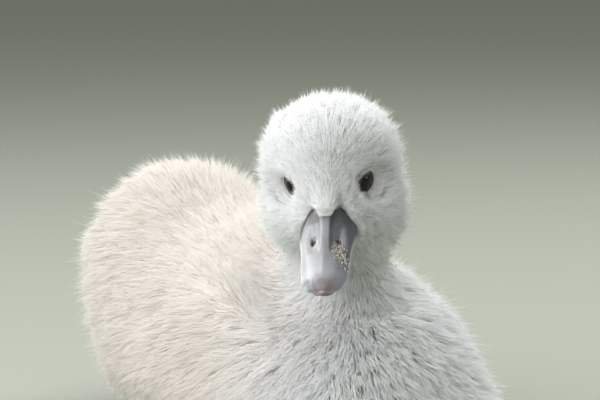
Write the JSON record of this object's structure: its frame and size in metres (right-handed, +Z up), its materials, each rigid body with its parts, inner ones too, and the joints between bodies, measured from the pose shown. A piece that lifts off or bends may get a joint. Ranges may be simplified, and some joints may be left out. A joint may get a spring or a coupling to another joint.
{
  "type": "mute swan cygnet",
  "caption": "Life-size downy mute swan cygnet lying on its belly, neck drawn back, head turned to its right and bent down.",
  "frame": {"origin": "on the floor, in the middle of the flat under the belly", "axes": "+Z up, -Y towards the breast, so the tail points along +Y, and +X to the bird's left"},
  "size_m": [0.106, 0.1898, 0.1202],
  "materials": {
    "body_down": "long soft cream down with white tips",
    "head_down": "short silky white down",
    "bill_horn": "satin blue-grey horn",
    "nail_horn": "satin pinkish grey horn",
    "eye": "wet gloss, dark brown",
    "leg_skin": "scaly grey skin, satin",
    "claw_horn": "smooth dark horn"
  },
  "bodies": {
    "root": {"trunk": "body_down", "tail": "body_down", "wing_left": "body_down", "wing_right": "body_down", "neck": "head_down", "head": "head_down", "bill_upper": "bill_horn", "bill_lower": "bill_horn", "bill_nail": "nail_horn", "eye_left": "eye", "eye_right": "eye", "leg_left": "leg_skin", "leg_right": "leg_skin", "foot_left": "leg_skin", "foot_right": "leg_skin", "claw_left_inner": "claw_horn", "claw_left_middle": "claw_horn", "claw_left_outer": "claw_horn", "claw_left_hind": "claw_horn", "claw_right_inner": "claw_horn", "claw_right_middle": "claw_horn", "claw_right_outer": "claw_horn", "claw_right_hind": "claw_horn"}
  },
  "joints": []
}
